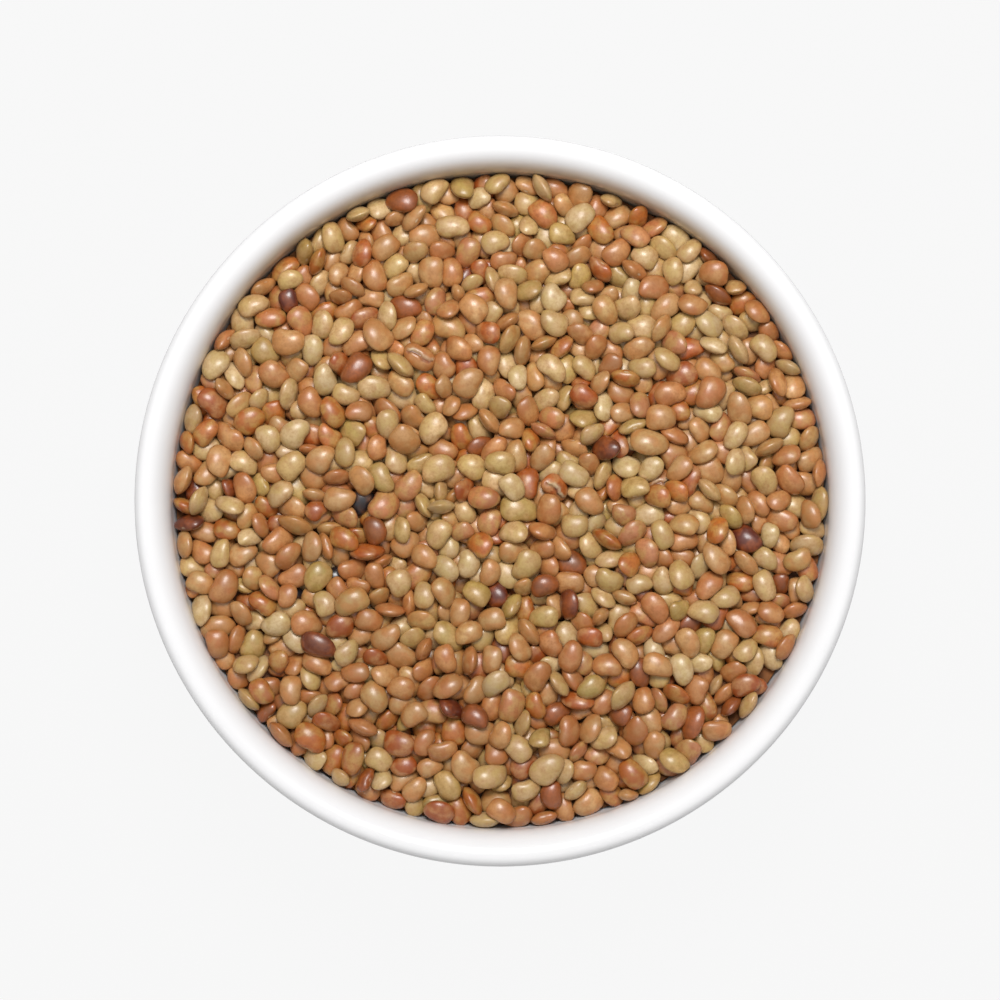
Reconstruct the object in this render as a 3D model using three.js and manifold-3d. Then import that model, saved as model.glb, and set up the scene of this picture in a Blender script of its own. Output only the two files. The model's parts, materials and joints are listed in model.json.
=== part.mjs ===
// A round bowl of white glazed stoneware on a foot ring, filled nearly to the brim with dry horse gram.
// The bowl is a thick shell between two half ellipsoids, and its lip is rounded broadly to the inside and
// tightly to the outside. The gram is one solid: a core that lies in the bowl, 0.3 mm clear of it, with the
// seeds that show fused to its top.
// Millimetres, +Z up. The origin is the centre of the ring that the bowl stands on.

import * as THREE from "three";
import { ConvexGeometry } from "three/addons/geometries/ConvexGeometry.js";
import { mergeVertices } from "three/addons/utils/BufferGeometryUtils.js";
import Module from "manifold-3d";

// The bowl's driving dimensions
const RIM_DIAMETER = 136.4;
const BOWL_HEIGHT = 55;
const LIP_THICKNESS = 6.4;
const LIP_RISE = 6; // height of the broad round from the inner wall up to the crest
const LIP_OUTER_ROUND = 1.8; // radius outside the crest
const FLOOR_THICKNESS = 5;
const FOOT_DIAMETER = 60;
const FOOT_WIDTH = 4.6;
const FOOT_RECESS = 1.5; // the underside's height above the table, at the middle
const FOOT_BEVEL = 0.9;

// The heap's driving dimensions
const FILL_BELOW_RIM = 8; // the core's flat top
const DOME_HEIGHT = 0.9; // how much higher the seeds lie in the middle than at the wall
const WALL_GAP = 0.3;
const SEED_COUNT = 330;
const SEED_LENGTH = 5.8;
const SEED_WIDTH = 4.5;
const SEED_THICKNESS = 2.8;
const SEED_SIZE_SPREAD = 0.12; // largest share that a seed is over or under those sizes
const LEAST_SEED_SHOWN = 1.9; // a seed's top above the core, before the dome
const MOST_SEED_SHOWN = 2.5;
const FLAT_SEED_TILT = 20; // degrees
const STEEP_SEED_TILT = 65; // degrees
const STEEP_SHARE = 0.22; // of all the seeds
const SEED_SCATTER = 0.5; // largest shift from an even place, as a share of the distance between two
const SPREADING_ROUNDS = 12;
const RANDOM_SEED = 5;

// How finely the solids are faceted
const SECTORS = 48;
const WALL_STEPS = 6;
const LIP_STEPS = 3; // on each side of the crest
const BODY_STEPS = 7;

// What follows from them
const OUTER_RADIUS = RIM_DIAMETER / 2;
const INNER_RADIUS = OUTER_RADIUS - LIP_THICKNESS;
const CREST_RADIUS = OUTER_RADIUS - LIP_OUTER_ROUND;
const LIP_HEIGHT = BOWL_HEIGHT - LIP_RISE; // where the walls end and the lip begins
const OUTER_DEPTH = LIP_HEIGHT - FOOT_RECESS;
const INNER_DEPTH = OUTER_DEPTH - FLOOR_THICKNESS;
const FOOT_RADIUS = FOOT_DIAMETER / 2;
const FILL_HEIGHT = BOWL_HEIGHT - FILL_BELOW_RIM;
const FILL_ANGLE = Math.asin((FILL_HEIGHT - LIP_HEIGHT) / INNER_DEPTH);

const wasm = await Module();
wasm.setup();

// Points of an arc of an ellipse about (r, z), from one angle to another.
function arc(r, z, radiusR, radiusZ, from, to, steps) {
  return new THREE.EllipseCurve(r, z, radiusR, radiusZ, from, to, to < from).getPoints(steps);
}

// The inner wall from the middle of the floor up to the heap's edge, moved in by a gap. The bowl and
// the heap both use it with the same steps, so that their facets lie side by side.
function wallUnderHeap(gap) {
  return arc(0, LIP_HEIGHT, INNER_RADIUS - gap, INNER_DEPTH - gap, -Math.PI / 2, FILL_ANGLE, WALL_STEPS);
}

// A closed profile turned about +Z.
function turned(profile) {
  const onAxis = profile.map((p) => new THREE.Vector2(Math.max(p.x, 0), p.y));
  return new THREE.LatheGeometry(onAxis, SECTORS).rotateX(Math.PI / 2);
}

function bowlGeometry() {
  const bodyAngle = (radius) => -Math.acos(radius / OUTER_RADIUS);
  const ringInside = FOOT_RADIUS - FOOT_WIDTH;
  const innerWall = wallUnderHeap(0);
  const lipInside = arc(
    CREST_RADIUS, LIP_HEIGHT, LIP_THICKNESS - LIP_OUTER_ROUND, LIP_RISE, Math.PI, Math.PI / 2, LIP_STEPS,
  );
  const lipOutside = arc(
    CREST_RADIUS, BOWL_HEIGHT - LIP_OUTER_ROUND, LIP_OUTER_ROUND, LIP_OUTER_ROUND, Math.PI / 2, 0, LIP_STEPS,
  ).slice(1);
  const body = arc(0, LIP_HEIGHT, OUTER_RADIUS, OUTER_DEPTH, 0, bodyAngle(FOOT_RADIUS), BODY_STEPS);
  const foot = [
    new THREE.Vector2(FOOT_RADIUS, FOOT_BEVEL),
    new THREE.Vector2(FOOT_RADIUS - FOOT_BEVEL, 0),
    new THREE.Vector2(ringInside + FOOT_BEVEL, 0),
    new THREE.Vector2(ringInside, FOOT_BEVEL),
  ];
  const underside = arc(0, LIP_HEIGHT, OUTER_RADIUS, OUTER_DEPTH, bodyAngle(ringInside), -Math.PI / 2, 2);
  // The profile runs from the underside round the outside to the floor, which turns the faces outwards.
  const outside = [...lipOutside, ...body, ...foot, ...underside];
  return turned([...innerWall, ...lipInside, ...outside].reverse());
}

function coreGeometry() {
  const wall = wallUnderHeap(WALL_GAP);
  return turned([...wall, new THREE.Vector2(0, wall.at(-1).y)]);
}

// One seed of horse gram, lying flat: an oval with a flat top, whose -Y edge is straighter. Its
// underside, which the core hides, narrows to a point that lies deep enough to reach the core.
function seedGeometry(length, width, thickness) {
  const points = [new THREE.Vector3(0, 0, -1.3 * thickness)];
  for (const degrees of [0, 58, 122, 180, 240, 300]) {
    const angle = THREE.MathUtils.degToRad(degrees);
    const straighter = degrees > 180 ? 0.82 : 1;
    const y = (width / 2) * Math.sin(angle) * straighter;
    points.push(new THREE.Vector3((length / 2) * Math.cos(angle), y, -0.1 * thickness));
  }
  for (const x of [-0.27, 0.27])
    for (const y of [-0.22, 0.25]) points.push(new THREE.Vector3(x * length, y * width, thickness / 2));
  return new ConvexGeometry(points);
}

// Random numbers from 0 to 1 that are the same on each run.
function randomSource(seed) {
  let state = seed;
  return () => {
    state = (state * 1664525 + 1013904223) % 4294967296;
    return state / 4294967296;
  };
}

// Points in a disc: a sunflower's even spiral, scattered at random, after which those that came too
// close push each other apart again.
function spreadInDisc(count, radius, random) {
  const spacing = radius * Math.sqrt((2 * Math.PI) / (Math.sqrt(3) * count));
  const goldenAngle = Math.PI * (3 - Math.sqrt(5));
  const shift = () => (2 * random() - 1) * SEED_SCATTER * spacing;
  const points = Array.from({ length: count }, (_, i) => {
    const distance = radius * Math.sqrt((i + 0.5) / count);
    const angle = i * goldenAngle;
    const even = new THREE.Vector2(distance * Math.cos(angle), distance * Math.sin(angle));
    return even.add(new THREE.Vector2(shift(), shift())).clampLength(0, radius);
  });
  for (let round = 0; round < SPREADING_ROUNDS; round++)
    for (const a of points)
      for (const b of points) {
        const distance = a.distanceTo(b);
        if (a === b || distance > spacing) continue;
        const push = b.clone().sub(a).setLength((spacing - distance) / 2);
        b.add(push).clampLength(0, radius);
        a.sub(push).clampLength(0, radius);
      }
  return points;
}

// A seed turned, set with its top a little above the core and moved in until it is clear of the wall.
function placedSeed(point, random) {
  const size = () => 1 + (2 * random() - 1) * SEED_SIZE_SPREAD;
  const geometry = seedGeometry(SEED_LENGTH * size(), SEED_WIDTH * size(), SEED_THICKNESS * size());
  const steep = random() < STEEP_SHARE;
  const tilt = THREE.MathUtils.degToRad(random() * (steep ? STEEP_SEED_TILT : FLAT_SEED_TILT));
  geometry.rotateZ(random() * 2 * Math.PI);
  geometry.rotateX(tilt);
  geometry.rotateZ(random() * 2 * Math.PI);
  geometry.computeBoundingBox();
  const shown = THREE.MathUtils.lerp(LEAST_SEED_SHOWN, MOST_SEED_SHOWN, random());
  const dome = DOME_HEIGHT * (1 - (point.length() / INNER_RADIUS) ** 2);
  geometry.translate(point.x, point.y, FILL_HEIGHT + dome + shown - geometry.boundingBox.max.z);

  const corners = geometry.getAttribute("position");
  let past = 0;
  for (let i = 0; i < corners.count; i++) {
    const up = Math.min(corners.getZ(i) - LIP_HEIGHT, 0) / INNER_DEPTH;
    const room = INNER_RADIUS * Math.sqrt(1 - up * up) - 2 * WALL_GAP;
    past = Math.max(past, Math.hypot(corners.getX(i), corners.getY(i)) - room);
  }
  const inwards = point.clone().setLength(-past);
  return geometry.translate(inwards.x, inwards.y, 0);
}

// A closed geometry as a manifold-3d solid.
function solidOf(geometry) {
  const bare = new THREE.BufferGeometry().setAttribute("position", geometry.getAttribute("position"));
  bare.setIndex(geometry.getIndex());
  const merged = mergeVertices(bare, 1e-4);
  const vertProperties = new Float32Array(merged.getAttribute("position").array);
  const triVerts = new Uint32Array(merged.getIndex().array);
  return new wasm.Manifold(new wasm.Mesh({ numProp: 3, vertProperties, triVerts }));
}

function geometryOf(solid) {
  const { vertProperties, triVerts } = solid.getMesh();
  return new THREE.BufferGeometry()
    .setAttribute("position", new THREE.BufferAttribute(vertProperties, 3))
    .setIndex(new THREE.BufferAttribute(triVerts, 1));
}

function heapGeometry() {
  const random = randomSource(RANDOM_SEED);
  const places = spreadInDisc(SEED_COUNT, INNER_RADIUS - SEED_WIDTH / 2, random);
  const heap = places.reduce(
    (joined, place) => joined.add(solidOf(placedSeed(place, random))),
    solidOf(coreGeometry()),
  );
  return geometryOf(heap);
}

const glaze = new THREE.MeshStandardMaterial({ color: "#f7f7f5", roughness: 0.18, metalness: 0 });
const seedCoat = new THREE.MeshStandardMaterial({ color: "#a8794f", roughness: 0.42, metalness: 0 });

function part(name, geometry, material) {
  geometry.computeVertexNormals();
  const mesh = new THREE.Mesh(geometry, material);
  mesh.name = name;
  return mesh;
}

const bowlOfGram = new THREE.Group();
bowlOfGram.add(part("bowl", bowlGeometry(), glaze), part("gram_heap", heapGeometry(), seedCoat));

export default bowlOfGram;
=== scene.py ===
"""Looks for a bowl of horse gram, laid out as an add-on and run as a script.

The bowl is turned from a fine profile and glazed. The heap is made of whole seeds: they fall on a low mound
in the bowl, settle against its wall and each other, and are then joined by the colour of their coats.
Lengths are in metres and +Z is up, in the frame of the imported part. The photograph looks straight down, with
+X to the right and +Y to the top."""

import json
import math
import random

import bpy
import numpy as np
from bpy.props import FloatProperty, FloatVectorProperty, IntProperty, PointerProperty
from mathutils import Euler, Matrix, Vector

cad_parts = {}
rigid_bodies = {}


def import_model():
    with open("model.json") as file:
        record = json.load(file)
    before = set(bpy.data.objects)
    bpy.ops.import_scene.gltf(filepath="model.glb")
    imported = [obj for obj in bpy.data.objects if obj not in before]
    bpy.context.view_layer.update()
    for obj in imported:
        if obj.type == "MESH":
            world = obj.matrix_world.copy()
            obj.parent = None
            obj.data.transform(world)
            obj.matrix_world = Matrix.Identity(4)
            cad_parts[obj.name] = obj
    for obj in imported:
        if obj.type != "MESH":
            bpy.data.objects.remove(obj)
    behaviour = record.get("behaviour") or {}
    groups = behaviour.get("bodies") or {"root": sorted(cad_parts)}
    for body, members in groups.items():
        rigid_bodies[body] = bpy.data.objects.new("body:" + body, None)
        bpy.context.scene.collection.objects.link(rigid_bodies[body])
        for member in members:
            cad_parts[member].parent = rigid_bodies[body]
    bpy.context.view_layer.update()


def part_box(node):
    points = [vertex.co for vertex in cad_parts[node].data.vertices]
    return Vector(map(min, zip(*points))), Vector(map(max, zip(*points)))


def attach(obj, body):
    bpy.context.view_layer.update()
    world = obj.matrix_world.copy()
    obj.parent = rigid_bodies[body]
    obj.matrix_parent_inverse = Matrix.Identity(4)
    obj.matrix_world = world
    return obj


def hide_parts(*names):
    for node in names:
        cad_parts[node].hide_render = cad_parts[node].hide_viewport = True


bl_info = {
    "name": "Bowl of Horse Gram",
    "version": (1, 0, 0),
    "blender": (4, 5, 0),
    "location": "3D View > Sidebar > Horse Gram",
    "description": "Glazed bowl filled with settled seeds of horse gram, on a pale stage",
    "category": "Add Mesh",
}

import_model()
BOWL_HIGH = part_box("bowl")[1]

RIM_RADIUS = BOWL_HIGH.x
RIM_HEIGHT = BOWL_HIGH.z

# Colours of seed coats, as (name, colour in sRGB, the coat whose colour clouds it, share of the seeds), from
# pale and yellow to dark and red. Each becomes one piece, and its seeds vary towards the coats next to it.
COATS = (
    ("straw", (206, 179, 134), "olive", 0.055),
    ("khaki", (200, 164, 115), "olive", 0.215),
    ("olive", (183, 155, 86), "tan", 0.055),
    ("tan", (195, 152, 101), "amber", 0.28),
    ("caramel", (188, 133, 79), "rust", 0.19),
    ("rosy", (190, 128, 88), "olive", 0.06),
    ("amber", (181, 106, 44), "olive", 0.085),
    ("rust", (168, 86, 34), "tan", 0.044),
    ("walnut", (138, 82, 42), "rust", 0.022),
    ("maroon", (104, 44, 24), "rust", 0.001),
    ("black", (34, 30, 36), "walnut", 0.0),
)
NEIGHBOUR_SHARE = 0.5  # how far a seed's colour may go towards a neighbouring coat's

# Towards the photograph's lower left, redder coats get likelier and all coats are painted darker, as shade.
REDDER_AND_SHADED_TOWARDS = (-0.35, -0.94)
REDDER_AND_SHADED_PAST = 0.010  # how far that way from the middle it starts
REDDER_RATE = 5.0  # for each metre further, and for each coat's place in the list
REDDEST = 6  # the place in the list from which coats are alike in this
# Painted shade: how much darker all coats are painted
PAINTED_SHADE_RATE = 2.8  # for each metre further

# Seeds that stand out in the photograph: the coat of the one that shows at (x, y).
LANDMARKS = (
    ("black", (-0.0308, -0.0125)),
    ("black", (-0.0377, -0.0181)),
    ("black", (-0.0252, 0.0011)),
    ("maroon", (-0.0342, -0.0282)),
    ("maroon", (0.0219, 0.0086)),
    ("maroon", (-0.0099, -0.0372)),
    ("maroon", (-0.0592, 0.0007)),
    ("maroon", (-0.0570, -0.0032)),
    ("maroon", (-0.0392, 0.0366)),
    ("maroon", (-0.0018, -0.0196)),
    ("rust", (0.0084, 0.0026)),
    ("rust", (-0.0317, -0.0241)),
    ("rust", (-0.0252, -0.0297)),
    ("olive", (0.0010, 0.0076)),
    ("olive", (0.0066, -0.0026)),
)

# Seeds whose coat has cracked: the one that shows at (x, y).
CRACKED = ((-0.0125, 0.0273), (0.0318, 0.0039), (0.0084, 0.0026))


# ---------------------------------------------------------------- settings


class BowlSettings(bpy.types.PropertyGroup):
    """Sizes and colour of the bowl. Its rim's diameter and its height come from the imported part"""

    lip_thickness: FloatProperty(
        name="Lip Thickness",
        description="Thickness of the wall just under the lip",
        default=0.0064,
        unit="LENGTH",
    )
    lip_rise: FloatProperty(
        name="Lip Rise",
        description="Height of the broad round inside the crest",
        default=0.006,
        unit="LENGTH",
    )
    lip_outer_round: FloatProperty(
        name="Lip Outer Round",
        description="Radius of the tight round outside the crest",
        default=0.0018,
        unit="LENGTH",
    )
    floor_thickness: FloatProperty(
        name="Floor Thickness",
        description="Thickness of the bowl in its middle",
        default=0.005,
        unit="LENGTH",
    )
    foot_diameter: FloatProperty(
        name="Foot Diameter", description="Outer diameter of the foot ring", default=0.060, unit="LENGTH"
    )
    foot_width: FloatProperty(
        name="Foot Width", description="Width of the foot ring", default=0.0046, unit="LENGTH"
    )
    foot_recess: FloatProperty(
        name="Foot Recess", description="Height of the underside's middle", default=0.0015, unit="LENGTH"
    )
    glaze_colour: FloatVectorProperty(
        name="Glaze", description="Colour of the glaze", default=(0.885, 0.88, 0.885), subtype="COLOR"
    )
    # Colour of the painted shade and reflection of the seeds on the glaze's inner wall
    seed_shade_colour: FloatVectorProperty(
        name="Seed_Shade", description="Glaze dusty from the seeds", default=(0.66, 0.57, 0.45), subtype="COLOR"
    )
    biscuit_colour: FloatVectorProperty(
        name="Biscuit",
        description="Bare clay where the foot stands",
        default=(0.70, 0.66, 0.60),
        subtype="COLOR",
    )


class GramSettings(bpy.types.PropertyGroup):
    """Sizes and amount of the seeds"""

    length: FloatProperty(name="Length", description="Length of a seed", default=0.0056, unit="LENGTH")
    width: FloatProperty(name="Width", description="Width of a seed", default=0.0047, unit="LENGTH")
    thickness: FloatProperty(
        name="Thickness",
        description="Thickness of a seed",
        default=0.0028,
        unit="LENGTH",
    )
    size_spread: FloatProperty(
        name="Size Spread",
        description="Standard deviation of a seed's size",
        default=0.08,
        subtype="FACTOR",
    )
    seed_count: IntProperty(name="Seeds", description="How many seeds lie on the mound", default=1370)
    mound_below_rim: FloatProperty(
        name="Mound Below Rim",
        description="Depth of the mound's edge under the rim",
        default=0.0096,
        unit="LENGTH",
    )
    mound_dish: FloatProperty(
        name="Mound Dish",
        description="How much lower the mound is in its middle",
        default=0.0014,
        unit="LENGTH",
    )
    # Painted shade: the seeds deep between the top ones, coloured as in their own shade
    mound_shade_colour: FloatVectorProperty(
        name="Mound",
        description="Colour deep between the seeds",
        default=(0.16, 0.060, 0.018),
        subtype="COLOR",
    )
    random_seed: IntProperty(name="Random Seed", description="Changes how the seeds fall", default=11)


class StageSettings(bpy.types.PropertyGroup):
    """Floor, lights and camera"""

    floor_colour: FloatVectorProperty(
        name="Floor", description="Colour of the floor", default=(0.93, 0.93, 0.93), subtype="COLOR"
    )
    floor_seen: FloatProperty(
        name="Floor Seen",
        description="Floor's own light that the camera sees",
        default=0.984,
    )
    # Painted shadow under the bowl, in the floor's glow
    floor_shade: FloatProperty(
        name="Floor Shade",
        description="Share of the floor's light that is left under the bowl",
        default=0.5,
    )
    floor_cast: FloatProperty(name="Floor Cast", description="Floor's own light on the bowl", default=0.8)
    key_power: FloatProperty(name="Key Light", description="Power of the softbox", default=2.5, unit="POWER")
    key_size: FloatProperty(name="Key Size", description="Width of the softbox", default=0.24, unit="LENGTH")
    key_place: FloatVectorProperty(
        name="Key Place",
        description="Where the softbox hangs",
        default=(0.01, 0.25, 0.54),
        subtype="TRANSLATION",
    )
    ceiling_light: FloatProperty(
        name="Ceiling Light",
        description="Room's light from straight above",
        default=0.76,
    )
    horizon_light: FloatProperty(
        name="Horizon Light",
        description="Room's light from the sides",
        default=0.08,
    )
    room_seen: FloatProperty(
        name="Room Seen",
        description="Room's light that the camera sees",
        default=0.92,
    )
    lens: FloatProperty(name="Lens", description="Focal length in millimetres", default=100.0)
    view_width: FloatProperty(
        name="View Width",
        description="Width of the view where the rim is widest",
        default=0.1866,
        unit="LENGTH",
    )


def bowl_settings():
    return bpy.context.scene.horse_gram_bowl


def gram_settings():
    return bpy.context.scene.horse_gram_seeds


def stage_settings():
    return bpy.context.scene.horse_gram_stage


# ---------------------------------------------------------------- shared geometry


def lip_height():
    """Height at which the walls end and the lip begins."""
    return RIM_HEIGHT - bowl_settings().lip_rise


def inner_depth():
    bowl = bowl_settings()
    return lip_height() - bowl.foot_recess - bowl.floor_thickness


def wall_radius(height):
    """Radius of the inner wall at a height. Above the wall it stays as it is at the wall's top."""
    down = min(height - lip_height(), 0.0) / inner_depth()
    return (RIM_RADIUS - bowl_settings().lip_thickness) * math.sqrt(max(1.0 - down * down, 0.0))


def mound_height(radius):
    gram = gram_settings()
    edge = RIM_HEIGHT - gram.mound_below_rim
    return edge - gram.mound_dish * (1.0 - (radius / wall_radius(edge)) ** 2)


def arc(centre, radii, start, end, steps):
    """Points (r, z) of an arc of an ellipse, from one angle in degrees to another."""
    angles = (math.radians(start + (end - start) * i / steps) for i in range(steps + 1))
    return [(centre[0] + radii[0] * math.cos(a), centre[1] + radii[1] * math.sin(a)) for a in angles]


def body_angle(radius):
    """Where the bowl's outside has a radius, below its widest, as an angle in degrees for arc."""
    return -math.degrees(math.acos(radius / RIM_RADIUS))


def turned_mesh(name, profile, segments):
    """A mesh of a profile of (r, z) turned about +Z. Points on the axis become one vertex."""
    verts, rings = [], []
    for r, z in profile:
        count = 1 if r < 1e-7 else segments
        rings.append(range(len(verts), len(verts) + count))
        turns = (2 * math.pi * i / segments for i in range(count))
        verts += [(r * math.cos(t), r * math.sin(t), z) for t in turns]
    faces = []
    for low, high in zip(rings, rings[1:]):
        for i in range(segments):
            j = (i + 1) % segments
            corners = [low[i % len(low)], low[j % len(low)], high[j % len(high)], high[i % len(high)]]
            faces.append(list(dict.fromkeys(corners)))
    mesh = bpy.data.meshes.new(name)
    mesh.from_pydata(verts, [], faces)
    mesh.shade_smooth()
    return mesh


def add_piece(name, mesh, node, material):
    """Puts a mesh in the scene as a piece that stands for a node of the frame."""
    piece = bpy.data.objects.new(name, mesh)
    bpy.context.scene.collection.objects.link(piece)
    mesh.materials.append(material)
    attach(piece, "root")
    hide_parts(node)
    return piece


# ---------------------------------------------------------------- materials


def srgb(colour):
    """A colour of 0 to 255 as linear light."""
    parts = [c / 255 for c in colour]
    return tuple(c / 12.92 if c <= 0.04045 else ((c + 0.055) / 1.055) ** 2.4 for c in parts)


def new_material(name):
    material = bpy.data.materials.new(name)
    material.use_nodes = True
    return material, material.node_tree.nodes, material.node_tree.links


def group_socket(tree, name, direction, kind, value=None):
    socket = tree.interface.new_socket(name=name, in_out=direction, socket_type=kind)
    if value is not None:
        socket.default_value = value


def ramp(tree, value, start, end):
    """A value's smooth rise from 0 at start to 1 at end."""
    node = tree.nodes.new("ShaderNodeMapRange")
    node.interpolation_type = "SMOOTHSTEP"
    node.inputs["From Min"].default_value = start
    node.inputs["From Max"].default_value = end
    tree.links.new(value, node.inputs["Value"])
    return node.outputs["Result"]


def times(tree, value, factor):
    """A value times a number or another socket."""
    node = tree.nodes.new("ShaderNodeMath")
    node.operation = "MULTIPLY"
    tree.links.new(value, node.inputs[0])
    if isinstance(factor, float):
        node.inputs[1].default_value = factor
    else:
        tree.links.new(factor, node.inputs[1])
    return node.outputs["Value"]


def mixed(tree, share, first, second):
    """Two colours mixed by a share of the second."""
    node = tree.nodes.new("ShaderNodeMix")
    node.data_type = "RGBA"
    tree.links.new(share, node.inputs["Factor"])
    tree.links.new(first, node.inputs["A"])
    tree.links.new(second, node.inputs["B"])
    return node.outputs["Result"]


def distance_from(tree, place, centre, radii):
    """How far a place is from a centre, as a share of the radii along X, Y and Z."""
    shifted = tree.nodes.new("ShaderNodeVectorMath")
    shifted.operation = "SUBTRACT"
    shifted.inputs[1].default_value = centre
    tree.links.new(place, shifted.inputs[0])
    scaled = tree.nodes.new("ShaderNodeVectorMath")
    scaled.operation = "DIVIDE"
    scaled.inputs[1].default_value = radii
    tree.links.new(shifted.outputs["Vector"], scaled.inputs[0])
    length = tree.nodes.new("ShaderNodeVectorMath")
    length.operation = "LENGTH"
    tree.links.new(scaled.outputs["Vector"], length.inputs[0])
    return length.outputs["Value"]


def mottle_group():
    """A group of nodes that breaks a colour up with wide clouds, blotches and fine grains, by a vector."""
    name = "Mottle"
    if name in bpy.data.node_groups:
        return bpy.data.node_groups[name]
    tree = bpy.data.node_groups.new(name, "ShaderNodeTree")
    group_socket(tree, "Vector", "INPUT", "NodeSocketVector")
    group_socket(tree, "Colour", "INPUT", "NodeSocketColor", (0.5, 0.5, 0.5, 1))
    group_socket(tree, "Cloud Colour", "INPUT", "NodeSocketColor", (0.4, 0.4, 0.4, 1))
    group_socket(tree, "Cloud Scale", "INPUT", "NodeSocketFloat", 300.0)
    group_socket(tree, "Cloud Amount", "INPUT", "NodeSocketFloat", 0.0)
    group_socket(tree, "Blotch Colour", "INPUT", "NodeSocketColor", (0.3, 0.3, 0.3, 1))
    group_socket(tree, "Blotch Scale", "INPUT", "NodeSocketFloat", 500.0)
    group_socket(tree, "Blotch Amount", "INPUT", "NodeSocketFloat", 0.3)
    group_socket(tree, "Grain Scale", "INPUT", "NodeSocketFloat", 4000.0)
    group_socket(tree, "Grain Amount", "INPUT", "NodeSocketFloat", 0.0)
    group_socket(tree, "Roughness Low", "INPUT", "NodeSocketFloat", 0.3)
    group_socket(tree, "Roughness High", "INPUT", "NodeSocketFloat", 0.4)
    group_socket(tree, "Colour", "OUTPUT", "NodeSocketColor")
    group_socket(tree, "Roughness", "OUTPUT", "NodeSocketFloat")
    group_socket(tree, "Height", "OUTPUT", "NodeSocketFloat")

    nodes, links = tree.nodes, tree.links
    given, out = nodes.new("NodeGroupInput"), nodes.new("NodeGroupOutput")
    cloud, blotch, grain = (nodes.new("ShaderNodeTexNoise") for _ in range(3))
    cloud.inputs["Detail"].default_value = 1.0
    blotch.inputs["Detail"].default_value = 3.0
    grain.inputs["Detail"].default_value = 2.0
    for noise, scale in ((cloud, "Cloud Scale"), (blotch, "Blotch Scale"), (grain, "Grain Scale")):
        links.new(given.outputs["Vector"], noise.inputs["Vector"])
        links.new(given.outputs[scale], noise.inputs["Scale"])

    clouds = times(tree, ramp(tree, cloud.outputs["Fac"], 0.40, 0.62), given.outputs["Cloud Amount"])
    clouded = mixed(tree, clouds, given.outputs["Colour"], given.outputs["Cloud Colour"])
    blotches = times(tree, ramp(tree, blotch.outputs["Fac"], 0.42, 0.68), given.outputs["Blotch Amount"])
    grains = times(tree, ramp(tree, grain.outputs["Fac"], 0.40, 0.70), given.outputs["Grain Amount"])
    amount = nodes.new("ShaderNodeMath")
    links.new(blotches, amount.inputs[0])
    links.new(grains, amount.inputs[1])
    colour = mixed(tree, amount.outputs["Value"], clouded, given.outputs["Blotch Colour"])
    links.new(colour, out.inputs["Colour"])

    rough = nodes.new("ShaderNodeMapRange")
    rough.inputs["From Min"].default_value = 0.3
    rough.inputs["From Max"].default_value = 0.7
    links.new(blotch.outputs["Fac"], rough.inputs["Value"])
    links.new(given.outputs["Roughness Low"], rough.inputs["To Min"])
    links.new(given.outputs["Roughness High"], rough.inputs["To Max"])
    links.new(rough.outputs["Result"], out.inputs["Roughness"])

    height = nodes.new("ShaderNodeMath")
    height.operation = "MULTIPLY_ADD"
    height.inputs[1].default_value = 0.12
    links.new(grain.outputs["Fac"], height.inputs[0])
    links.new(blotch.outputs["Fac"], height.inputs[2])
    links.new(height.outputs["Value"], out.inputs["Height"])
    return tree


def add_mottle(material, vector, values):
    """Places the mottle group in a material, with its values, its roughness and its bump joined up."""
    nodes, links = material.node_tree.nodes, material.node_tree.links
    shader = nodes["Principled BSDF"]
    mottle = nodes.new("ShaderNodeGroup")
    mottle.node_tree = mottle_group()
    for name, value in values.items():
        mottle.inputs[name].default_value = value
    links.new(vector, mottle.inputs["Vector"])
    links.new(mottle.outputs["Roughness"], shader.inputs["Roughness"])
    bump = nodes.new("ShaderNodeBump")
    bump.inputs["Strength"].default_value = 0.35
    bump.inputs["Distance"].default_value = 0.00012
    links.new(mottle.outputs["Height"], bump.inputs["Height"])
    links.new(bump.outputs["Normal"], shader.inputs["Normal"])
    return mottle, bump


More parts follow.
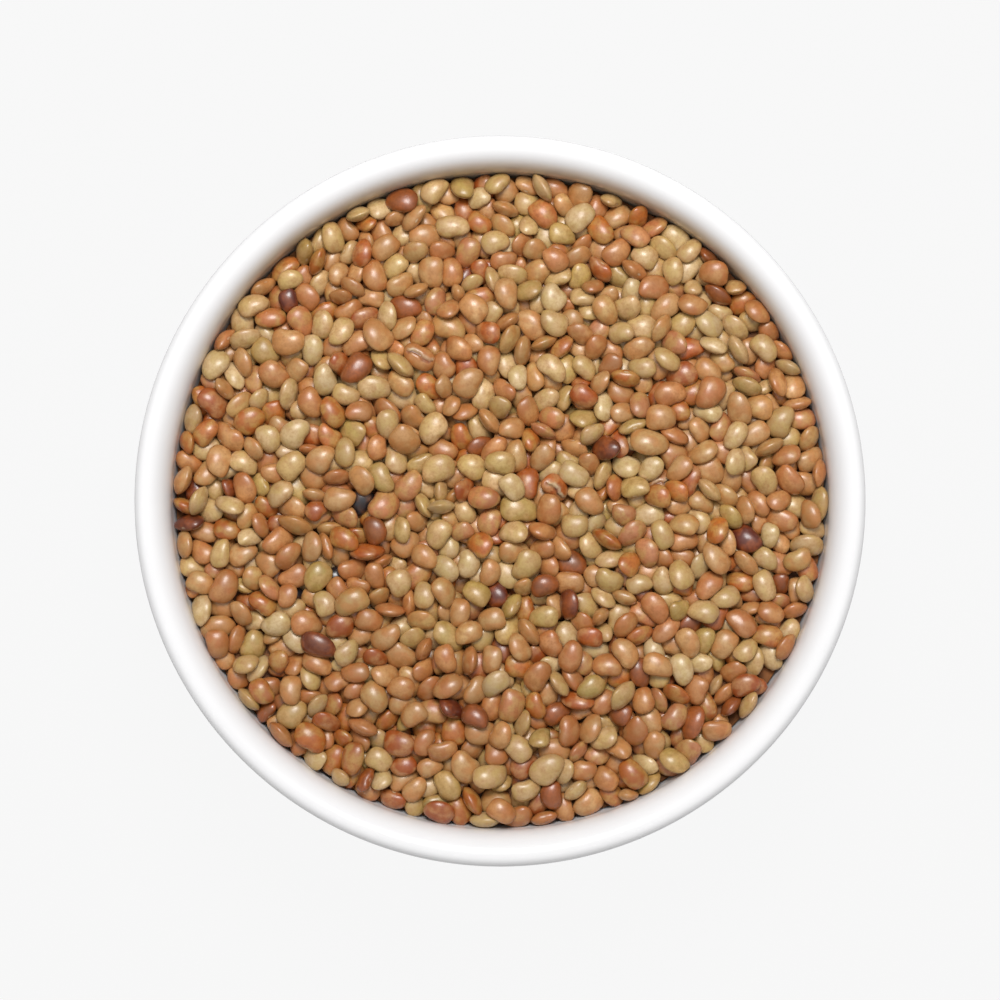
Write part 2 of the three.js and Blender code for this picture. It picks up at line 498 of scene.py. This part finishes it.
def glaze_material():
    """White glaze, a little uneven, with painted shade and reflection of the seeds inside on its +Y side,
    and bare clay where the foot stands."""
    bowl = bowl_settings()
    material, nodes, links = new_material("white_glaze")
    place = nodes.new("ShaderNodeTexCoord")
    glaze = (*bowl.glaze_colour, 1)
    pooled = (*(c * 0.975 for c in bowl.glaze_colour), 1)
    values = {
        "Colour": glaze,
        "Blotch Colour": pooled,
        "Blotch Scale": 60.0,
        "Blotch Amount": 0.6,
        "Grain Scale": 160.0,
        "Roughness Low": 0.10,
        "Roughness High": 0.16,
    }
    mottle, bump = add_mottle(material, place.outputs["Object"], values)
    bump.inputs["Strength"].default_value = 0.05
    bump.inputs["Distance"].default_value = 0.0002

    height = nodes.new("ShaderNodeSeparateXYZ")
    links.new(place.outputs["Object"], height.inputs["Vector"])
    tree = material.node_tree
    bare = ramp(tree, height.outputs["Z"], 0.0007, 0.0003)
    # The seeds' painted shade and reflection lie on the inner half of the wall, from low on the lip down,
    # at the +Y side, which faces away from the softbox.
    middle = RIM_RADIUS - bowl.lip_thickness / 2
    middle_depth = inner_depth() + bowl.floor_thickness / 2
    middle_radii = (middle, middle, middle_depth)
    from_middle = distance_from(tree, place.outputs["Object"], (0, 0, lip_height()), middle_radii)
    inside = ramp(tree, from_middle, 1.0, 0.975)
    low = ramp(tree, height.outputs["Z"], lip_height() + 0.006, lip_height() + 0.002)
    shaded_side = ramp(tree, height.outputs["Y"], 0.015, 0.050)
    seed_shade, clay = nodes.new("ShaderNodeRGB"), nodes.new("ShaderNodeRGB")
    seed_shade.outputs["Color"].default_value = (*bowl.seed_shade_colour, 1)
    clay.outputs["Color"].default_value = (*bowl.biscuit_colour, 1)
    # How much painted shade and reflection of the seeds the glaze takes
    seed_shade_amount = times(tree, times(tree, inside, low), shaded_side)
    shade_painted = mixed(tree, seed_shade_amount, mottle.outputs["Colour"], seed_shade.outputs["Color"])
    colour = mixed(tree, bare, shade_painted, clay.outputs["Color"])
    links.new(colour, nodes["Principled BSDF"].inputs["Base Color"])
    return material


def marks_group():
    """A group of nodes that colours a seed by the place on it: deeper towards its edge, and with a pale
    scar, darker round its rim, in the middle of its straighter edge."""
    name = "Seed Marks"
    if name in bpy.data.node_groups:
        return bpy.data.node_groups[name]
    tree = bpy.data.node_groups.new(name, "ShaderNodeTree")
    group_socket(tree, "Place", "INPUT", "NodeSocketVector")
    group_socket(tree, "Colour", "INPUT", "NodeSocketColor", (0.5, 0.5, 0.5, 1))
    group_socket(tree, "Edge Colour", "INPUT", "NodeSocketColor", (0.3, 0.3, 0.3, 1))
    group_socket(tree, "Edge Amount", "INPUT", "NodeSocketFloat", 0.4)
    group_socket(tree, "Scar Colour", "INPUT", "NodeSocketColor", (0.6, 0.5, 0.35, 1))
    group_socket(tree, "Colour", "OUTPUT", "NodeSocketColor")

    given, out = tree.nodes.new("NodeGroupInput"), tree.nodes.new("NodeGroupOutput")
    outwards = distance_from(tree, given.outputs["Place"], (0, 0, 0), (1.0, 1.0, 4.0))
    edge = ramp(tree, outwards, 0.55, 1.05)
    edge_amount = times(tree, edge, given.outputs["Edge Amount"])
    edged = mixed(tree, edge_amount, given.outputs["Colour"], given.outputs["Edge Colour"])

    from_scar = distance_from(tree, given.outputs["Place"], (0, -0.80, 0), (0.17, 0.22, 0.15))
    ring = ramp(tree, from_scar, 2.0, 1.2)
    ringed = mixed(tree, times(tree, ring, 0.6), edged, given.outputs["Edge Colour"])
    scar = ramp(tree, from_scar, 1.15, 0.75)
    scarred = mixed(tree, times(tree, scar, 0.85), ringed, given.outputs["Scar Colour"])
    tree.links.new(scarred, out.inputs["Colour"])
    return tree


def coat_material(name, tint, cloud):
    """A seed coat: the seed's own colour, its marks, clouds of another coat's colour, darker blotches, and a
    soft shine under a clear one."""
    material, nodes, links = new_material(name)
    colour, own, place = (nodes.new("ShaderNodeAttribute") for _ in range(3))
    colour.attribute_name = "seed_colour"
    own.attribute_name = "seed_own"
    place.attribute_name = "seed_place"
    deep = (tint[0] * 0.64, tint[1] * 0.47, tint[2] * 0.30, 1)

    marks = nodes.new("ShaderNodeGroup")
    marks.node_tree = marks_group()
    marks.inputs["Edge Colour"].default_value = deep
    marks.inputs["Edge Amount"].default_value = 0.35
    marks.inputs["Scar Colour"].default_value = (0.55, 0.43, 0.27, 1)
    links.new(own.outputs["Vector"], marks.inputs["Place"])
    links.new(colour.outputs["Color"], marks.inputs["Colour"])

    values = {
        "Cloud Colour": (*cloud, 1),
        "Cloud Scale": 420.0,
        "Cloud Amount": 0.48,
        "Blotch Colour": deep,
        "Blotch Scale": 640.0,
        "Blotch Amount": 0.42,
        "Grain Scale": 2200.0,
        "Grain Amount": 0.30,
        "Roughness Low": 0.30,
        "Roughness High": 0.44,
    }
    mottle, _ = add_mottle(material, place.outputs["Vector"], values)
    links.new(marks.outputs["Colour"], mottle.inputs["Colour"])
    shader = nodes["Principled BSDF"]
    links.new(mottle.outputs["Colour"], shader.inputs["Base Color"])
    shader.inputs["Specular IOR Level"].default_value = 0.50
    shader.inputs["Coat Weight"].default_value = 0.70 - 0.5 * max(tint)  # darker coats shine more
    shader.inputs["Coat Roughness"].default_value = 0.28
    return material


def mound_material():
    """What shows deep between the seeds: the seeds below, in their own shade."""
    material, nodes, links = new_material("mound_of_seeds")
    place = nodes.new("ShaderNodeTexCoord")
    dark = gram_settings().mound_shade_colour
    values = {
        "Colour": (*dark, 1),
        "Blotch Colour": (*(c * 1.9 for c in dark), 1),
        "Blotch Scale": 260.0,
        "Blotch Amount": 1.0,
        "Grain Scale": 2600.0,
        "Roughness Low": 0.55,
        "Roughness High": 0.75,
    }
    mottle, _ = add_mottle(material, place.outputs["Object"], values)
    links.new(mottle.outputs["Colour"], nodes["Principled BSDF"].inputs["Base Color"])
    return material


# ---------------------------------------------------------------- seeds


class SeedShape:
    """One of the shapes that seeds come in: a blunt oval from above, thinner towards its ends and its
    +Y edge, with a straighter -Y edge that carries the scar, and with a shallow dimple."""

    def __init__(self, rng):
        self.blunt = rng.uniform(0.54, 0.84)
        self.thinning = rng.uniform(0.95, 1.45)
        self.taper = rng.uniform(-0.16, 0.16)
        self.shear = rng.uniform(-0.15, 0.15)
        self.bend = rng.uniform(0.0, 0.16)
        self.notch = rng.uniform(0.02, 0.14)
        self.dimple = max(rng.uniform(-0.15, 0.20), 0.0)
        self.dimple_at = (rng.uniform(-0.45, 0.45), rng.uniform(-0.4, 0.5))
        self.made = {}

    def points(self, grid):
        """Points on the seed, with its sides at 1 and -1, its ends first and then ring after ring."""
        if grid not in self.made:
            places = [(0, 0), (grid.along, 0)]
            places += [(j, i) for j in range(1, grid.along) for i in range(grid.around)]
            angles = [(math.pi * j / grid.along, 2 * math.pi * i / grid.around) for j, i in places]
            self.made[grid] = np.array([self.point(*pair) for pair in angles])
        return self.made[grid]

    def point(self, a, b):
        """The point at angle a from one end and at angle b round the seed's length."""
        x = -math.cos(a)
        outline = math.sin(a) ** self.blunt if a < math.pi else 0.0
        belly = math.sin(a) ** self.thinning if a < math.pi else 0.0
        y = outline * math.cos(b)
        edge = 1.25 if y > 0.0 else 0.95
        z = belly * math.copysign(abs(math.sin(b)) ** edge, math.sin(b))
        if y < 0.0:
            y *= 0.86
            y += self.notch * math.exp(-((x / 0.3) ** 2)) * math.cos(b) ** 2
        near = math.exp(-((x - self.dimple_at[0]) ** 2 + (y - self.dimple_at[1]) ** 2) / 0.14)
        if z > 0.0:
            z -= self.dimple * near * z
        y = y * (1.0 + self.taper * x) - self.bend * (x * x - 0.4)
        return (x + self.shear * y, y, z)


class SeedGrid:
    """How the points of a seed are joined, with so many round it and so many steps along it. Each corner
    of a face also has a spot in the unit square: round the seed is across, and its length is up."""

    def __init__(self, around, along):
        self.around, self.along = around, along
        self.faces, spots = [], []
        for j in range(along):
            for i in range(around):
                corners = [(j, i), (j + 1, i), (j + 1, i + 1), (j, i + 1)]
                if j == 0:
                    corners = [(0, i + 0.5), *corners[1:3]]
                if j == along - 1:
                    corners = [corners[0], (along, i + 0.5), corners[3]]
                self.faces.append([self.point_at(*corner) for corner in corners])
                spots += [(step / around, row / along) for row, step in corners]
        margin = 0.03
        self.spots = np.array(spots) * (1 - 2 * margin) + margin
        self.corners = np.concatenate(self.faces)
        self.face_sizes = np.array([len(face) for face in self.faces])

    def point_at(self, row, step):
        """The number of a point in what SeedShape.points gives."""
        if row in (0, self.along):
            return 0 if row == 0 else 1
        return 2 + (row - 1) * self.around + step % self.around


class Seed:
    """One seed: its shape, its size beside the usual one and, once it has settled, its place."""

    def __init__(self, shape, size):
        self.shape = shape
        self.size = size
        self.matrix = Matrix()
        self.cracked = False

    def centre(self):
        return self.matrix.translation


def usual_size():
    """Half of the length, width and thickness that most seeds have."""
    gram = gram_settings()
    return Vector((gram.length, gram.width, gram.thickness)) / 2


SHAPE_COUNT = 14


def new_seeds():
    """The seeds, before they fall, each with a shape and a size of its own."""
    gram = gram_settings()
    rng = random.Random(gram.random_seed)
    shapes = [SeedShape(rng) for _ in range(SHAPE_COUNT)]
    seeds = []
    for _ in range(gram.seed_count):
        all_over = rng.gauss(1.0, gram.size_spread)
        size = Vector([all_over * rng.gauss(1.0, gram.size_spread / 2) for _ in range(3)])
        seeds.append(Seed(rng.choice(shapes), size))
    return seeds, rng


HULL = SeedGrid(8, 6)

# The settling runs in a scene drawn larger, because the solver is made for things of about a metre.
SETTLING_SCALE = 100.0
SETTLING_FRAMES = 36
SEEDS_IN_A_LAYER = 300
LAYER_SPACING = 0.0055


def settle(seeds, rng):
    """Lets the seeds fall on the mound and come to rest, and keeps where they lie."""
    scene = bpy.context.scene
    bpy.ops.rigidbody.world_add()
    world = scene.rigidbody_world
    world.collection = bpy.data.collections.new("settling")
    world.substeps_per_frame = 4
    world.point_cache.frame_end = SETTLING_FRAMES
    gravity = scene.gravity.copy()
    scene.gravity = (0, 0, -20)

    basin = settling_basin()
    hulls = {}
    bodies = [settling_seed(seed, i, hulls, rng) for i, seed in enumerate(seeds)]
    for number in range(1, SETTLING_FRAMES + 1):
        scene.frame_set(number)
    for seed, body in zip(seeds, bodies):
        place, turn, _ = body.matrix_world.decompose()
        seed.matrix = Matrix.Translation(place / SETTLING_SCALE) @ turn.to_matrix().to_4x4()

    collection = world.collection
    bpy.ops.rigidbody.world_remove()
    bpy.data.batch_remove([basin, *bodies, collection])
    scene.gravity = gravity
    scene.frame_set(1)


def settling_basin():
    """The mound and the bowl's wall, with a straight wall above to hold seeds that are still high."""
    edge = RIM_HEIGHT - gram_settings().mound_below_rim
    reach = wall_radius(edge)
    profile = [(reach * i / 8, mound_height(reach * i / 8)) for i in range(9)]
    for i in range(1, 6):
        height = edge + (lip_height() - edge) * i / 5
        profile.append((wall_radius(height), height))
    profile.append((wall_radius(lip_height()), RIM_HEIGHT + 0.06))
    mesh = turned_mesh("basin", [(r * SETTLING_SCALE, z * SETTLING_SCALE) for r, z in profile], 64)
    basin = settling_body("basin", mesh, "PASSIVE", "MESH")
    basin.rigid_body.use_margin = True
    basin.rigid_body.collision_margin = 0.0
    return basin


def settling_body(name, mesh, kind, form):
    body = bpy.data.objects.new(name, mesh)
    bpy.context.scene.collection.objects.link(body)
    bpy.context.scene.rigidbody_world.collection.objects.link(body)
    body.rigid_body.type = kind
    body.rigid_body.collision_shape = form
    body.rigid_body.friction = 0.4
    body.rigid_body.restitution = 0.0
    return body


def settling_seed(seed, number, hulls, rng):
    """A body for a seed, at its place in a column of loose layers over the mound."""
    if seed.shape not in hulls:
        mesh = bpy.data.meshes.new("hull")
        points = seed.shape.points(HULL) * np.array(usual_size() * SETTLING_SCALE)
        mesh.from_pydata(points, [], HULL.faces)
        hulls[seed.shape] = mesh
    body = settling_body("seed", hulls[seed.shape], "ACTIVE", "CONVEX_HULL")
    body.rigid_body.mass = 0.05
    body.rigid_body.linear_damping = 0.1
    body.rigid_body.angular_damping = 0.3
    body.scale = seed.size

    layer, place = divmod(number, SEEDS_IN_A_LAYER)
    height = RIM_HEIGHT - gram_settings().mound_below_rim + 0.004 + LAYER_SPACING * layer
    reach = wall_radius(min(height, lip_height())) - 0.0034
    radius = reach * math.sqrt((place + 0.5) / SEEDS_IN_A_LAYER)
    turn = place * math.pi * (3 - math.sqrt(5)) + layer
    height += rng.uniform(-0.0006, 0.0006)
    body.location = Vector((radius * math.cos(turn), radius * math.sin(turn), height)) * SETTLING_SCALE
    body.rotation_mode = "QUATERNION"
    lean = Euler((rng.gauss(0, 0.15), rng.gauss(0, 0.12), rng.uniform(0, 2 * math.pi)))
    body.rotation_quaternion = lean.to_quaternion()
    return body


def height_at(seed, spot):
    """Height of a seed's top at a spot (x, y), taken as an ellipsoid, or -1 where the seed isn't there."""
    half = seed.size * usual_size()
    to_unit = (seed.matrix.to_3x3() @ Matrix.Diagonal(half)).inverted()
    start = to_unit @ (Vector((*spot, 0.0)) - seed.centre())
    up = to_unit @ Vector((0.0, 0.0, 1.0))
    inside = start.dot(up) ** 2 - up.length_squared * (start.length_squared - 1.0)
    return (math.sqrt(inside) - start.dot(up)) / up.length_squared if inside > 0.0 else -1.0


def seed_on_top(seeds, spot):
    """The seed that shows at a spot (x, y)."""
    return max(seeds, key=lambda seed: height_at(seed, spot))


def redder_and_shaded_distance(seed):
    """How far a seed lies past the line from which seeds are redder and painted darker, as shade."""
    return max(seed.centre().xy.dot(Vector(REDDER_AND_SHADED_TOWARDS)) - REDDER_AND_SHADED_PAST, 0.0)


def coat_weights(seed):
    """How likely each coat is, where a seed lies."""
    drift = REDDER_RATE * redder_and_shaded_distance(seed)
    return [share * math.exp(drift * min(place, REDDEST)) for place, (_, _, _, share) in enumerate(COATS)]


def coats_for(seeds, rng):
    """Gives each seed a coat by the coats' shares, and returns the seeds of each coat."""
    names = [coat[0] for coat in COATS]
    coats = {seed: rng.choices(names, coat_weights(seed))[0] for seed in seeds}
    for name, spot in LANDMARKS:
        coats[seed_on_top(seeds, spot)] = name
    return {name: [seed for seed in seeds if coats[seed] == name] for name in names}


def neighbours(number):
    """The colours of the coats before and after one in the list, as linear light."""
    last = len(COATS) - 1
    return [srgb(COATS[min(max(number + step, 0), last)][1]) for step in (-1, 1)]


END_SHADE = 0.12  # how much lighter one end of a seed usually is, and darker the other
PALE_FLESH = (0.60, 0.48, 0.30)
# Painted shade in the split of a crack
PAINTED_SPLIT_SHADE = (0.05, 0.02, 0.01)

# The points across a crack, as (steps round the seed from the crack's middle, depth as a share, shade,
# amount of the shade). The dark shade in the split is painted shade.
CRACK_ACROSS = (
    (-1, 0.16, PAINTED_SPLIT_SHADE, 0.8),
    (0, 0.26, PAINTED_SPLIT_SHADE, 1.0),
    (1, 0.04, PALE_FLESH, 1.0),
    (2, -0.04, PALE_FLESH, 1.0),
    (3, -0.01, PALE_FLESH, 0.6),
)
FINE = SeedGrid(20, 15)
CRACK_GRID = SeedGrid(48, 30)
HIDDEN = SeedGrid(12, 8)
HIDDEN_DEPTH = 0.0078  # seeds with their middle this far under the rim don't show


def grid_for(seed):
    if seed.cracked:
        return CRACK_GRID
    return FINE if seed.centre().z > RIM_HEIGHT - HIDDEN_DEPTH else HIDDEN


def opened(seed, own, shades):
    """A seed's points, of CRACK_GRID, with the coat split along the line that faces up. The split, painted
    dark as shade, and its pale torn edge are set in the shades."""
    own = own.copy()
    around, along = CRACK_GRID.around, CRACK_GRID.along
    middle = [CRACK_GRID.point_at(along // 2, step) for step in range(around)]
    up = np.array(seed.size * usual_size()) * np.array(seed.matrix.to_3x3())[2]
    top = int(np.argmax(own[middle] @ up))
    for row in range(along // 6, along - along // 6):
        share = math.sin(math.pi * row / along) ** 0.5
        split = top + round(1.3 * math.sin(0.45 * row))
        for step, depth, shade, amount in CRACK_ACROSS:
            point = CRACK_GRID.point_at(row, split + step)
            own[point, 1:] *= 1.0 - depth * share
            shades[point, :3] += (np.array(shade) - shades[point, :3]) * amount
    return own


def seeds_mesh(name, seeds, colour, others, rng):
    """One mesh of many seeds. Points carry the seed's colour, their place on its shape and a place for its
    pattern, for the material. Each seed has its own square of the bake's map."""
    points, owns, places, colours, corners, sizes, spots = [], [], [], [], [], [], []
    side, start = math.ceil(math.sqrt(len(seeds))), 0
    for number, seed in enumerate(seeds):
        grid = grid_for(seed)
        own = seed.shape.points(grid)
        ends = 1.0 + rng.gauss(0.0, END_SHADE) * own[:, :1]
        # Painted shade: darker towards the lower left
        ends *= 1.0 - PAINTED_SHADE_RATE * redder_and_shaded_distance(seed)
        shades = np.hstack([ends * varied(colour, rng.choice(others), rng), np.ones_like(ends)])
        if seed.cracked:
            own = opened(seed, own, shades)
        local = own * np.array(seed.size * usual_size())
        points.append(local @ np.array(seed.matrix.to_3x3()).T + np.array(seed.centre()))
        owns.append(own)
        places.append(local + np.array([rng.uniform(-1, 1) for _ in range(3)]))
        colours.append(shades)
        corners.append(grid.corners + start)
        sizes.append(grid.face_sizes)
        spots.append((grid.spots + np.array(divmod(number, side))) / side)
        start += len(local)

    mesh = bpy.data.meshes.new(name)
    corners, sizes = np.concatenate(corners), np.concatenate(sizes)
    mesh.vertices.add(start)
    mesh.vertices.foreach_set("co", np.concatenate(points).ravel())
    mesh.loops.add(len(corners))
    mesh.loops.foreach_set("vertex_index", corners)
    mesh.polygons.add(len(sizes))
    mesh.polygons.foreach_set("loop_start", np.cumsum(sizes) - sizes)
    mesh.update(calc_edges=True)
    mesh.shade_smooth()
    colour_of = mesh.attributes.new("seed_colour", "FLOAT_COLOR", "POINT")
    colour_of.data.foreach_set("color", np.concatenate(colours).ravel())
    for key, vectors in (("seed_own", owns), ("seed_place", places)):
        vector_of = mesh.attributes.new(key, "FLOAT_VECTOR", "POINT")
        vector_of.data.foreach_set("vector", np.concatenate(vectors).ravel())
    mesh.uv_layers.new(name="OFBake").data.foreach_set("uv", np.concatenate(spots).ravel())
    return mesh


def varied(colour, other, rng):
    """A colour part of the way to another, and a little lighter or darker."""
    share = rng.uniform(0.0, NEIGHBOUR_SHARE)
    value = rng.gauss(1.0, 0.08)
    return [(c + (o - c) * share) * value for c, o in zip(colour, other)]


# ---------------------------------------------------------------- operators


class HORSEGRAM_OT_bowl(bpy.types.Operator):
    """Turns the bowl from its profile and glazes it"""

    bl_idname = "horse_gram.bowl"
    bl_label = "Glazed Bowl"

    def execute(self, context):
        bowl = bowl_settings()
        top = lip_height()
        outer_depth = top - bowl.foot_recess
        outer_round = bowl.lip_outer_round
        crest = RIM_RADIUS - outer_round
        inner = arc((0, top), (RIM_RADIUS - bowl.lip_thickness, inner_depth()), -90, 0, 30)
        lip = arc((crest, top), (bowl.lip_thickness - outer_round, bowl.lip_rise), 180, 90, 20)[1:]
        lip += arc((crest, RIM_HEIGHT - outer_round), (outer_round, outer_round), 90, 0, 12)[1:]
        lip.append((RIM_RADIUS, top))
        foot_out = bowl.foot_diameter / 2
        foot_in = foot_out - bowl.foot_width
        body_end = body_angle(foot_out + 0.0007)
        body = arc((0, top), (RIM_RADIUS, outer_depth), 0, body_end, 28)[1:]
        foot_top = body[-1][1]
        edge = 0.0009
        # The glaze fills the corner between the body and the foot ring.
        foot = [(foot_out + 0.0002, foot_top - 0.0006), (foot_out, foot_top - 0.0012)]
        foot.append((foot_out, edge + 0.0004))
        foot += arc((foot_out - edge, edge), (edge, edge), 0, -90, 5)
        foot += arc((foot_in + edge, edge), (edge, edge), -90, -180, 5)
        under = arc((0, top), (RIM_RADIUS, outer_depth), body_angle(foot_in), -90, 12)
        profile = [*inner, *lip, *body, *foot, *under]
        profile = [(max(r, 0.0), z) for r, z in reversed(profile)]
        mesh = turned_mesh("bowl_glazed", profile, 192)
        add_piece("bowl_glazed", mesh, "bowl", glaze_material())
        return {"FINISHED"}


class HORSEGRAM_OT_mound(bpy.types.Operator):
    """Fills the bowl with a mound painted dark as shade, on which the seeds lie"""

    bl_idname = "horse_gram.mound"
    bl_label = "Mound Under Seeds"

    def execute(self, context):
        edge = RIM_HEIGHT - gram_settings().mound_below_rim
        gap = 0.0003
        floor_angle = math.degrees(math.asin((edge - lip_height()) / inner_depth()))
        reach = RIM_RADIUS - bowl_settings().lip_thickness - gap
        wall = arc((0, lip_height()), (reach, inner_depth() - gap), -90, floor_angle, 20)
        last = wall[-1][0]
        top = [(last * (1 - i / 10), mound_height(last * (1 - i / 10))) for i in range(11)]
        profile = [(max(r, 0.0), z) for r, z in [*wall, *top]]
        mesh = turned_mesh("gram_mound", profile, 96)
        add_piece("gram_mound", mesh, "gram_heap", mound_material())
        return {"FINISHED"}


class HORSEGRAM_OT_seeds(bpy.types.Operator):
    """Lets the seeds settle in the bowl and joins them into one piece for each coat"""

    bl_idname = "horse_gram.seeds"
    bl_label = "Seeds"

    def execute(self, context):
        seeds, rng = new_seeds()
        settle(seeds, rng)
        seeds = [seed for seed in seeds if 0 < seed.centre().z < RIM_HEIGHT]
        for spot in CRACKED:
            seed_on_top(seeds, spot).cracked = True
        by_coat = coats_for(seeds, rng)
        tints = {name: srgb(colour) for name, colour, _, _ in COATS}
        for number, (name, _, cloud, _) in enumerate(COATS):
            if not by_coat[name]:
                raise RuntimeError(f"no seed has the coat {name}")
            mesh = seeds_mesh("gram_" + name, by_coat[name], tints[name], neighbours(number), rng)
            material = coat_material("coat_" + name, tints[name], tints[cloud])
            add_piece("gram_" + name, mesh, "gram_heap", material)
        return {"FINISHED"}


class HORSEGRAM_OT_stage(bpy.types.Operator):
    """Makes the pale floor, the softbox, the room's light and the camera that looks straight down"""

    bl_idname = "horse_gram.stage"
    bl_label = "Stage"

    def execute(self, context):
        stage = stage_settings()
        scene = context.scene
        scene.view_settings.view_transform = "Standard"
        add_floor(stage)
        add_key(stage)
        add_room_light(stage)
        add_camera(stage)
        return {"FINISHED"}


# How much of the light that falls on it the floor sends back, as a share of its colour
FLOOR_REFLECTS = 0.02

# The distances from the bowl's middle between which the floor's painted shadow under the bowl fades out
SHADED_FULLY = 0.024
SHADED_TO = 0.070


def add_floor(stage):
    """A wide floor that shines, less brightly on the bowl than to the camera, and least under the bowl, where
    its glow is dimmed as a painted shadow.
    """
    mesh = bpy.data.meshes.new("floor")
    reach = 3.0
    corners = [(-reach, -reach, 0), (reach, -reach, 0), (reach, reach, 0), (-reach, reach, 0)]
    mesh.from_pydata(corners, [], [(0, 1, 2, 3)])
    floor = bpy.data.objects.new("floor", mesh)
    bpy.context.scene.collection.objects.link(floor)
    material, nodes, links = new_material("pale_floor")
    shader = nodes["Principled BSDF"]
    shader.inputs["Base Color"].default_value = (*(c * FLOOR_REFLECTS for c in stage.floor_colour), 1)
    shader.inputs["Roughness"].default_value = 0.9
    shader.inputs["Specular IOR Level"].default_value = 0.0
    shader.inputs["Emission Color"].default_value = (*stage.floor_colour, 1)
    path, strength = nodes.new("ShaderNodeLightPath"), nodes.new("ShaderNodeMapRange")
    strength.inputs["To Min"].default_value = stage.floor_cast
    strength.inputs["To Max"].default_value = stage.floor_seen
    links.new(path.outputs["Is Camera Ray"], strength.inputs["Value"])
    tree = material.node_tree
    # Painted shadow: the floor's glow is dimmed under the bowl
    place = nodes.new("ShaderNodeTexCoord")
    from_middle = distance_from(tree, place.outputs["Object"], (0, 0, 0), (1, 1, 1))
    shade = nodes.new("ShaderNodeMapRange")
    shade.inputs["To Min"].default_value = stage.floor_shade
    links.new(ramp(tree, from_middle, SHADED_FULLY, SHADED_TO), shade.inputs["Value"])
    emitted = times(tree, strength.outputs["Result"], shade.outputs["Result"])
    links.new(emitted, shader.inputs["Emission Strength"])
    mesh.materials.append(material)


def add_key(stage):
    """A softbox above the bowl and a little towards +Y, which is the top of the photograph."""
    light = bpy.data.lights.new("softbox", "AREA")
    light.shape = "DISK"
    light.size = stage.key_size
    light.energy = stage.key_power
    softbox = bpy.data.objects.new("softbox", light)
    bpy.context.scene.collection.objects.link(softbox)
    softbox.location = stage.key_place
    target = Vector((0, 0, RIM_HEIGHT))
    softbox.rotation_euler = (target - softbox.location).to_track_quat("-Z", "Y").to_euler()


# The sine of the elevation up to which the room's light is as at the horizon
HORIZON_TOP = 0.3


def add_room_light(stage):
    """A room that is brightest straight above, and that the camera sees as pale as the floor."""
    world = bpy.data.worlds.new("room")
    world.use_nodes = True
    nodes, links = world.node_tree.nodes, world.node_tree.links
    direction, parts = nodes.new("ShaderNodeTexCoord"), nodes.new("ShaderNodeSeparateXYZ")
    links.new(direction.outputs["Generated"], parts.inputs["Vector"])
    rise = ramp(world.node_tree, parts.outputs["Z"], HORIZON_TOP, 1.0)
    strength = nodes.new("ShaderNodeMapRange")
    strength.inputs["To Min"].default_value = stage.horizon_light
    strength.inputs["To Max"].default_value = stage.ceiling_light
    links.new(rise, strength.inputs["Value"])
    path, shown = nodes.new("ShaderNodeLightPath"), nodes.new("ShaderNodeMapRange")
    links.new(path.outputs["Is Camera Ray"], shown.inputs["Value"])
    links.new(strength.outputs["Result"], shown.inputs["To Min"])
    shown.inputs["To Max"].default_value = stage.room_seen
    background = nodes["Background"]
    background.inputs["Color"].default_value = (1.0, 1.0, 1.0, 1)
    links.new(shown.outputs["Result"], background.inputs["Strength"])
    bpy.context.scene.world = world


def add_camera(stage):
    """A long lens straight above, as far as makes the view its width at the rim."""
    data = bpy.data.cameras.new("camera")
    data.lens = stage.lens
    camera = bpy.data.objects.new("camera", data)
    bpy.context.scene.collection.objects.link(camera)
    distance = stage.view_width * data.lens / data.sensor_width
    camera.location = (0, 0.0002, RIM_HEIGHT - bowl_settings().lip_outer_round + distance)
    bpy.context.scene.camera = camera


class HORSEGRAM_PT_panel(bpy.types.Panel):
    """Lists the settings and the pieces"""

    bl_idname = "HORSEGRAM_PT_panel"
    bl_label = "Bowl of Horse Gram"
    bl_space_type = "VIEW_3D"
    bl_region_type = "UI"
    bl_category = "Horse Gram"

    def draw(self, context):
        for settings in (bowl_settings(), gram_settings(), stage_settings()):
            box = self.layout.box()
            for name in settings.__annotations__:
                box.prop(settings, name)
        for operator in OPERATORS:
            self.layout.operator(operator.bl_idname)


OPERATORS = (HORSEGRAM_OT_bowl, HORSEGRAM_OT_mound, HORSEGRAM_OT_seeds, HORSEGRAM_OT_stage)
SETTINGS = {
    "horse_gram_bowl": BowlSettings,
    "horse_gram_seeds": GramSettings,
    "horse_gram_stage": StageSettings,
}


def register():
    for kind in (*SETTINGS.values(), *OPERATORS, HORSEGRAM_PT_panel):
        bpy.utils.register_class(kind)
    for name, kind in SETTINGS.items():
        setattr(bpy.types.Scene, name, PointerProperty(type=kind))


def unregister():
    for name in SETTINGS:
        delattr(bpy.types.Scene, name)
    for kind in reversed((*SETTINGS.values(), *OPERATORS, HORSEGRAM_PT_panel)):
        bpy.utils.unregister_class(kind)


def main():
    register()
    bpy.ops.horse_gram.bowl()
    bpy.ops.horse_gram.mound()
    bpy.ops.horse_gram.seeds()
    bpy.ops.horse_gram.stage()


if __name__ == "__main__":
    main()
